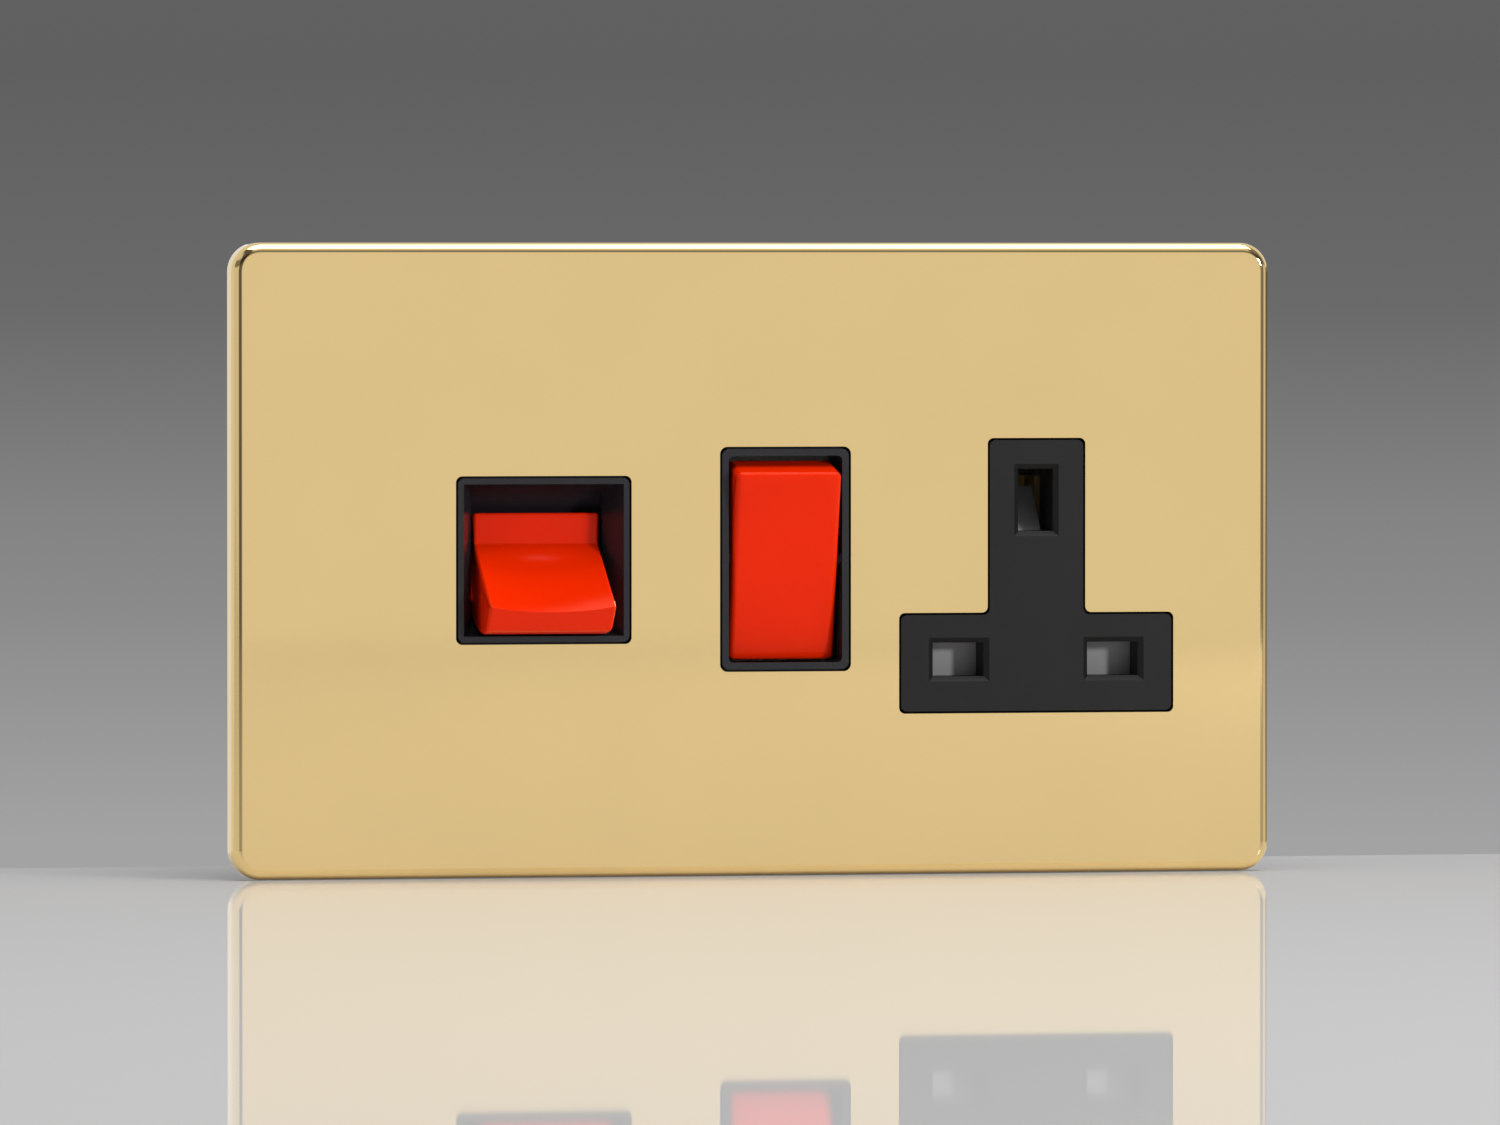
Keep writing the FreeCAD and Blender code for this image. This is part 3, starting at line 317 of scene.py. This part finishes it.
def new_material(name, colour, metallic=0.0, roughness=0.4, specular=0.5):
    """A Principled material with its plain numbers on the shader's own sockets."""
    material = bpy.data.materials.new(name)
    material.use_nodes = True
    shader = material.node_tree.nodes["Principled BSDF"]
    shader.inputs["Base Color"].default_value = (*colour, 1)
    shader.inputs["Metallic"].default_value = metallic
    shader.inputs["Roughness"].default_value = roughness
    shader.inputs["Specular IOR Level"].default_value = specular
    return material, shader


def make_finish(colour, scale, spread, rough, relief=None, stretch=(1, 1, 1), **plain):
    """A material whose colour and roughness, and height if asked for, vary by fine noise."""
    material, shader = new_material(colour=colour, **plain)
    tree = material.node_tree
    coordinate = tree.nodes.new("ShaderNodeTexCoord")
    mapping = tree.nodes.new("ShaderNodeMapping")
    mapping.inputs["Scale"].default_value = stretch
    tree.links.new(coordinate.outputs["Object"], mapping.inputs["Vector"])
    grain = add_noise(tree, mapping, scale, GRAIN_DETAIL)
    ramp = tree.nodes.new("ShaderNodeValToRGB")
    tones = [c * (1 - spread) for c in colour], [min(c * (1 + spread), 1) for c in colour]
    for element, place, tone in zip(ramp.color_ramp.elements, GRAIN_RAMP, tones):
        element.position = place
        element.color = (*tone, 1)
    tree.links.new(grain, ramp.inputs["Fac"])
    tree.links.new(ramp.outputs["Color"], shader.inputs["Base Color"])
    span = tree.nodes.new("ShaderNodeMapRange")
    span.inputs["To Min"].default_value = rough[0]
    span.inputs["To Max"].default_value = rough[1]
    tree.links.new(grain, span.inputs["Value"])
    tree.links.new(span.outputs["Result"], shader.inputs["Roughness"])
    if relief:
        add_relief(tree, mapping, shader, *relief)
    return material


def add_noise(tree, mapping, scale, detail):
    """A noise on the mapped coordinates."""
    noise = tree.nodes.new("ShaderNodeTexNoise")
    noise.inputs["Scale"].default_value = scale
    noise.inputs["Detail"].default_value = detail
    tree.links.new(mapping.outputs["Vector"], noise.inputs["Vector"])
    return noise.outputs["Fac"]


def add_relief(tree, mapping, shader, scale, height):
    """A fine bump on a shader's normal."""
    bump = tree.nodes.new("ShaderNodeBump")
    bump.inputs["Strength"].default_value = RELIEF_STRENGTH
    bump.inputs["Distance"].default_value = height
    tree.links.new(add_noise(tree, mapping, scale, RELIEF_DETAIL), bump.inputs["Height"])
    tree.links.new(bump.outputs["Normal"], shader.inputs["Normal"])


def dress_nodes():
    """Gives each carried-over node the finish of its record slot."""
    made = {slot: make_finish(**finish) for slot, finish in FINISHES.items()}
    for row in frame["record"]["subparts"]:
        node = frame["nodes"][row["node"]]
        node.data.materials.clear()
        node.data.materials.append(made[row["material_slot"]])
    return made


def add_piece(name, rings, material, body, slot, *nodes):
    """Builds a skin, gives it its finish and lets it stand for its CAD nodes."""
    piece = mesh_from_rings(name, rings)
    piece.data.materials.append(material)
    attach(piece, body)
    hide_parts(*nodes)
    return piece


def coil_rings(low, high):
    """Round wire wound up between the lowest and highest corners of a box."""
    centre = (low + high) / 2
    radius = (high[0] - low[0]) / 2 - COIL_WIRE_RADIUS
    share = np.linspace(0, 1, COIL_TURNS * COIL_STEPS + 1)[:, None]
    turn = 2 * math.pi * COIL_TURNS * share
    side = np.linspace(0, 2 * math.pi, COIL_SIDES, endpoint=False)[None, :]
    reach = radius + COIL_WIRE_RADIUS * np.cos(side)
    rise = low[2] + COIL_WIRE_RADIUS + (high[2] - low[2] - 2 * COIL_WIRE_RADIUS) * share
    return np.stack([centre[0] + reach * np.cos(turn), centre[1] + reach * np.sin(turn),
                     rise + COIL_WIRE_RADIUS * np.sin(side)], axis=-1)


def add_shutter_spring(material):
    """The coil stands on the housing, where the shutter comes down on it."""
    low, high = (np.array(corner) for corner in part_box("shutter_spring"))
    coil = add_piece("shutter_spring_coil", coil_rings(low, high), material, "housing",
                     "spring_steel", "shutter_spring")
    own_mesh(coil)


# Stage, in metres
FLOOR_FRONT_Y = -1.2
FLOOR_BACK_Y = 0.045
FLOOR_HALF = 3.0
FLOOR_PALE = (0.73, 0.73, 0.73)
FLOOR_IOR = 1.05
FLOOR_ROUGHNESS = 0.02
FLOOR_CLEARANCE = 0.0001


def add_stage():
    """Polished pale table whose far edge lies just behind the object."""
    x, y = np.meshgrid([-FLOOR_HALF, FLOOR_HALF], [FLOOR_FRONT_Y, FLOOR_BACK_Y], indexing="ij")
    z = np.full(x.shape, FLOOR_Z - FLOOR_CLEARANCE)
    points = np.stack([x, y, z], axis=-1).reshape(-1, 3)
    mesh = bpy.data.meshes.new("stage_floor")
    mesh.from_pydata(points.tolist(), [], [(0, 2, 3, 1)])
    floor = bpy.data.objects.new("stage_floor", mesh)
    bpy.context.scene.collection.objects.link(floor)
    material, shader = new_material("stage_pale", FLOOR_PALE, roughness=FLOOR_ROUGHNESS)
    shader.inputs["IOR"].default_value = FLOOR_IOR
    floor.data.materials.append(material)


def fill_ramp(ramp, stops):
    """Sets a ramp's greys from pairs of place and grey."""
    elements = ramp.color_ramp.elements
    elements[0].position, elements[1].position = stops[0][0], stops[-1][0]
    elements[0].color = (stops[0][1],) * 3 + (1,)
    elements[1].color = (stops[-1][1],) * 3 + (1,)
    for position, grey in stops[1:-1]:
        element = elements.new(position)
        element.color = (grey, grey, grey, 1)


# The room's greys against a direction's X and Z, each from -1 to 1 as 0 to 1
DIRECTION_SPAN = (-1, 1)
ROOM_ACROSS = [(0.0, 0.8), (0.2, 0.8), (0.27, 0.14), (0.46, 0.14), (0.52, 0.92), (0.7, 0.92),
               (0.74, 0.25), (0.9, 0.25), (0.95, 0.8), (1.0, 0.8)]
ROOM_UP = [(0.0, 1.0), (0.58, 1.0), (0.62, 0.3), (0.72, 0.3), (0.78, 1.0), (1.0, 1.0)]

# The backdrop's greys against a direction's Z, over the span from its foot to above its head. They
# are painted shade: lightest low down by the floor, darkest a little above the object, and lighter
# again higher up, where the floor mirrors it.
BACKDROP_SPAN = (-0.05, 0.06)
BACKDROP_PAINTED_SHADE = [(0.09, 0.365), (0.236, 0.255), (0.291, 0.23), (0.427, 0.144), (0.573, 0.117),
                   (0.7, 0.12), (0.84, 0.25), (1.0, 0.26)]

# Direction's Z up to which a mirror shows the backdrop, and the grey of the card round it
BACKDROP_TOP = 0.12
REAR_CARD = (0.9, 0.9, 0.9)


def add_world():
    """Soft room: a bright card ahead, darker gaps round it, and a backdrop greyed with painted
    shade.
    """
    world = bpy.data.worlds.new("soft_room")
    bpy.context.scene.world = world
    world.use_nodes = True
    tree = world.node_tree
    coordinate = tree.nodes.new("ShaderNodeTexCoord")
    split = tree.nodes.new("ShaderNodeSeparateXYZ")
    tree.links.new(coordinate.outputs["Generated"], split.inputs["Vector"])
    x, y, z = split.outputs
    room = mixed(tree, "MULTIPLY", graded(tree, x, DIRECTION_SPAN, ROOM_ACROSS),
                 graded(tree, z, DIRECTION_SPAN, ROOM_UP))
    card = tree.nodes.new("ShaderNodeRGB")
    card.outputs["Color"].default_value = (*REAR_CARD, 1)
    # Painted shade on the backdrop: greys by height that stand in for how light falls on it
    backdrop = graded(tree, z, BACKDROP_SPAN, BACKDROP_PAINTED_SHADE)
    path = tree.nodes.new("ShaderNodeLightPath")
    behind, painted_backdrop_share = rear_shares(tree, path, x, y, z)
    view = mixed(tree, "MIX", room, card.outputs["Color"], behind)
    view = mixed(tree, "MIX", view, backdrop, painted_backdrop_share)
    tree.links.new(view, tree.nodes["Background"].inputs["Color"])


def rear_shares(tree, path, x, y, z):
    """Where mirrors show what is behind the object, and where the backdrop with its painted shade
    shows.
    """
    mirrored = combined(tree, "MAXIMUM", path.outputs["Is Glossy Ray"],
                        path.outputs["Is Transmission Ray"])
    behind = combined(tree, "MULTIPLY", mirrored, compared(tree, "GREATER_THAN", y, 0))
    right = compared(tree, "GREATER_THAN", x, 0)
    low = compared(tree, "LESS_THAN", z, BACKDROP_TOP)
    painted_backdrop_share = combined(tree, "MULTIPLY", combined(tree, "MULTIPLY", right, low), behind)
    return behind, combined(tree, "MAXIMUM", painted_backdrop_share, path.outputs["Is Camera Ray"])


def graded(tree, source, span_ends, stops):
    """A ramp of greys over a span of one value."""
    span = tree.nodes.new("ShaderNodeMapRange")
    span.inputs["From Min"].default_value = span_ends[0]
    span.inputs["From Max"].default_value = span_ends[1]
    tree.links.new(source, span.inputs["Value"])
    ramp = tree.nodes.new("ShaderNodeValToRGB")
    fill_ramp(ramp, stops)
    tree.links.new(span.outputs["Result"], ramp.inputs["Fac"])
    return ramp.outputs["Color"]


def mixed(tree, blend, first, second, share=None):
    """Two colours through one Mix node, in full or by a share."""
    mix = tree.nodes.new("ShaderNodeMix")
    mix.data_type = "RGBA"
    mix.blend_type = blend
    mix.inputs["Factor"].default_value = 1
    tree.links.new(first, colour_socket(mix.inputs, "A"))
    tree.links.new(second, colour_socket(mix.inputs, "B"))
    if share:
        tree.links.new(share, mix.inputs["Factor"])
    return colour_socket(mix.outputs, "Result")


def colour_socket(sockets, name):
    """The colour socket of a Mix node by its name, which other kinds of socket share."""
    return [socket for socket in sockets if socket.name == name and socket.type == "RGBA"][0]


def compared(tree, operation, source, limit):
    """One where a value passes a limit, else zero."""
    math_node = tree.nodes.new("ShaderNodeMath")
    math_node.operation = operation
    math_node.inputs[1].default_value = limit
    tree.links.new(source, math_node.inputs[0])
    return math_node.outputs[0]


def combined(tree, operation, first, second):
    """Two values through one Math node."""
    math_node = tree.nodes.new("ShaderNodeMath")
    math_node.operation = operation
    tree.links.new(first, math_node.inputs[0])
    tree.links.new(second, math_node.inputs[1])
    return math_node.outputs[0]


# Name, place, point looked at, size in metres and power in watts
LAMPS = [
    ("overhead_soft", (0.1, -0.2, 0.9), (0, 0, 0), (0.9, 0.8), 8.0),
    ("key_right", (0.75, -1.0, 0.24), (0.02, 0, 0), (0.14, 0.14), 8.2),
]


def add_area(name, place, target, size, power):
    """A soft flat lamp that looks at a point."""
    lamp = bpy.data.lights.new(name, "AREA")
    lamp.shape = "RECTANGLE"
    lamp.size, lamp.size_y = size
    lamp.energy = power
    holder = bpy.data.objects.new(name, lamp)
    bpy.context.scene.collection.objects.link(holder)
    holder.location = place
    holder.rotation_euler = (Vector(target) - Vector(place)).to_track_quat("-Z", "Y").to_euler()


# Camera; the frame is that of the picture, in pixels
CAMERA_DISTANCE = 2.0
CAMERA_YAW = 13.0
CAMERA_PITCH = 1.2
PIXELS_PER_METRE = 7190.0
FRAME_WIDTH = 1500
FRAME_HEIGHT = 1125
FACE_CENTRE_PIXEL = (755.5, 559.25)
SENSOR_WIDTH = 36.0
CLIP_DISTANCES = (0.05, 50)


def add_camera():
    """Long lens from the left; the face's centre lands where the picture has it."""
    yaw = math.radians(CAMERA_YAW)
    pitch = math.radians(CAMERA_PITCH)
    forward = Vector((math.sin(yaw) * math.cos(pitch), math.cos(yaw) * math.cos(pitch),
                      -math.sin(pitch)))
    right = Vector((math.cos(yaw), -math.sin(yaw), 0))
    up = right.cross(forward)
    dx = (FACE_CENTRE_PIXEL[0] - FRAME_WIDTH / 2) / PIXELS_PER_METRE
    dz = (FRAME_HEIGHT / 2 - FACE_CENTRE_PIXEL[1]) / PIXELS_PER_METRE
    target = Vector((0, PLATE_FACE_Y, 0)) - right * dx - up * dz
    data = bpy.data.cameras.new("camera")
    data.sensor_width = SENSOR_WIDTH
    data.lens = SENSOR_WIDTH * PIXELS_PER_METRE * CAMERA_DISTANCE / FRAME_WIDTH
    data.clip_start, data.clip_end = CLIP_DISTANCES
    camera = bpy.data.objects.new("camera", data)
    bpy.context.scene.collection.objects.link(camera)
    camera.location = target - forward * CAMERA_DISTANCE
    camera.rotation_euler = forward.to_track_quat("-Z", "Y").to_euler()
    bpy.context.scene.camera = camera


add_camera()
add_world()
add_stage()
for lamp_row in LAMPS:
    add_area(*lamp_row)

finishes = dress_nodes()
add_piece("cooker_rocker_skin", cooker_rocker_rings(), finishes["red_gloss"],
          "cooker_rocker_body", "red_gloss", "cooker_rocker")
for side, sign in (("left", -1), ("right", 1)):
    add_piece("cooker_rocker_key_" + side, key_rings(sign), finishes["red_gloss"],
              "cooker_rocker_body", "red_gloss", "cooker_rocker")
add_piece("socket_rocker_skin", paddle_rings(), finishes["red_gloss"],
          "socket_rocker_body", "red_gloss", "socket_rocker")
add_shutter_spring(finishes["spring_steel"])

bpy.context.scene.view_settings.view_transform = "Standard"
